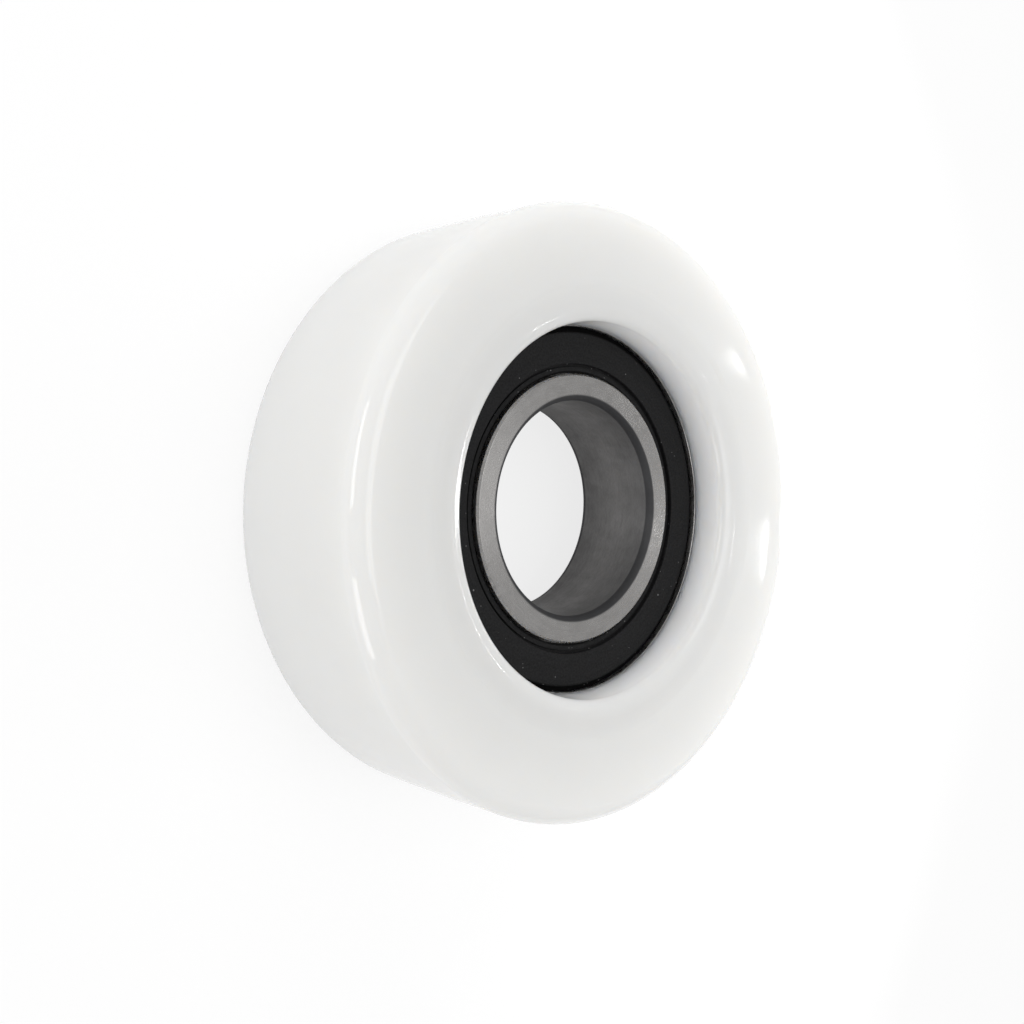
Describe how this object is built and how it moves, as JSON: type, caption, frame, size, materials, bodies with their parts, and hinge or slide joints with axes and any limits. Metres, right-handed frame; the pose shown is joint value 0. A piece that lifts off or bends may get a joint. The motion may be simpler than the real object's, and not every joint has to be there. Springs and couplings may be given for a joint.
{
  "type": "garage door roller",
  "caption": "Wide white nylon roller moulded round a sealed deep-groove ball bearing, with a plain bore for the axle of a heavy door and recessed sides.",
  "frame": {"origin": "centre of the bearing's bore, on the roller's mid-plane", "axes": "+Z along the rolling axis, towards the side called front; the roller lies on its rear side crest"},
  "size_m": [0.07, 0.07, 0.022],
  "materials": {
    "tyre_nylon": "smooth moulded, slightly translucent nylon",
    "ring_steel": "ground bearing steel",
    "ball_steel": "lapped bearing steel",
    "cage_steel": "pressed sheet steel",
    "rivet_steel": "upset steel wire",
    "seal_rubber": "matt moulded nitrile rubber"
  },
  "bodies": {
    "hub": {"inner_ring": "ring_steel"},
    "roller": {"tyre": "tyre_nylon", "outer_ring": "ring_steel", "seal_front": "seal_rubber", "seal_rear": "seal_rubber"},
    "cage": {"cage_front": "cage_steel", "cage_rear": "cage_steel", "cage_rivets": "rivet_steel"},
    "ball_01_body": {"ball_01": "ball_steel"},
    "ball_02_body": {"ball_02": "ball_steel"},
    "ball_03_body": {"ball_03": "ball_steel"},
    "ball_04_body": {"ball_04": "ball_steel"},
    "ball_05_body": {"ball_05": "ball_steel"},
    "ball_06_body": {"ball_06": "ball_steel"},
    "ball_07_body": {"ball_07": "ball_steel"},
    "ball_08_body": {"ball_08": "ball_steel"},
    "ball_09_body": {"ball_09": "ball_steel"},
    "ball_10_body": {"ball_10": "ball_steel"}
  },
  "joints": [
    {"name": "tyre_spin", "type": "hinge", "parent": "hub", "child": "roller", "pos_m": [0, 0, 0], "axis": [0, 0, 1], "continuous": true},
    {"name": "cage_spin", "type": "hinge", "parent": "hub", "child": "cage", "pos_m": [0, 0, 0], "axis": [0, 0, 1], "continuous": true},
    {"name": "ball_01_spin", "type": "hinge", "parent": "cage", "child": "ball_01_body", "pos_m": [0.018, 0, 0], "axis": [0, 0, 1], "continuous": true},
    {"name": "ball_02_spin", "type": "hinge", "parent": "cage", "child": "ball_02_body", "pos_m": [0.01456, 0.01058, 0], "axis": [0, 0, 1], "continuous": true},
    {"name": "ball_03_spin", "type": "hinge", "parent": "cage", "child": "ball_03_body", "pos_m": [0.00556, 0.01712, 0], "axis": [0, 0, 1], "continuous": true},
    {"name": "ball_04_spin", "type": "hinge", "parent": "cage", "child": "ball_04_body", "pos_m": [-0.00556, 0.01712, 0], "axis": [0, 0, 1], "continuous": true},
    {"name": "ball_05_spin", "type": "hinge", "parent": "cage", "child": "ball_05_body", "pos_m": [-0.01456, 0.01058, 0], "axis": [0, 0, 1], "continuous": true},
    {"name": "ball_06_spin", "type": "hinge", "parent": "cage", "child": "ball_06_body", "pos_m": [-0.018, 0, 0], "axis": [0, 0, 1], "continuous": true},
    {"name": "ball_07_spin", "type": "hinge", "parent": "cage", "child": "ball_07_body", "pos_m": [-0.01456, -0.01058, 0], "axis": [0, 0, 1], "continuous": true},
    {"name": "ball_08_spin", "type": "hinge", "parent": "cage", "child": "ball_08_body", "pos_m": [-0.00556, -0.01712, 0], "axis": [0, 0, 1], "continuous": true},
    {"name": "ball_09_spin", "type": "hinge", "parent": "cage", "child": "ball_09_body", "pos_m": [0.00556, -0.01712, 0], "axis": [0, 0, 1], "continuous": true},
    {"name": "ball_10_spin", "type": "hinge", "parent": "cage", "child": "ball_10_body", "pos_m": [0.01456, -0.01058, 0], "axis": [0, 0, 1], "continuous": true}
  ],
  "couplings": [
    {"joint": "cage_spin", "follows": "tyre_spin", "ratio": 0.59371},
    {"joint": "ball_01_spin", "follows": "tyre_spin", "ratio": 2.5741},
    {"joint": "ball_02_spin", "follows": "tyre_spin", "ratio": 2.5741},
    {"joint": "ball_03_spin", "follows": "tyre_spin", "ratio": 2.5741},
    {"joint": "ball_04_spin", "follows": "tyre_spin", "ratio": 2.5741},
    {"joint": "ball_05_spin", "follows": "tyre_spin", "ratio": 2.5741},
    {"joint": "ball_06_spin", "follows": "tyre_spin", "ratio": 2.5741},
    {"joint": "ball_07_spin", "follows": "tyre_spin", "ratio": 2.5741},
    {"joint": "ball_08_spin", "follows": "tyre_spin", "ratio": 2.5741},
    {"joint": "ball_09_spin", "follows": "tyre_spin", "ratio": 2.5741},
    {"joint": "ball_10_spin", "follows": "tyre_spin", "ratio": 2.5741}
  ]
}
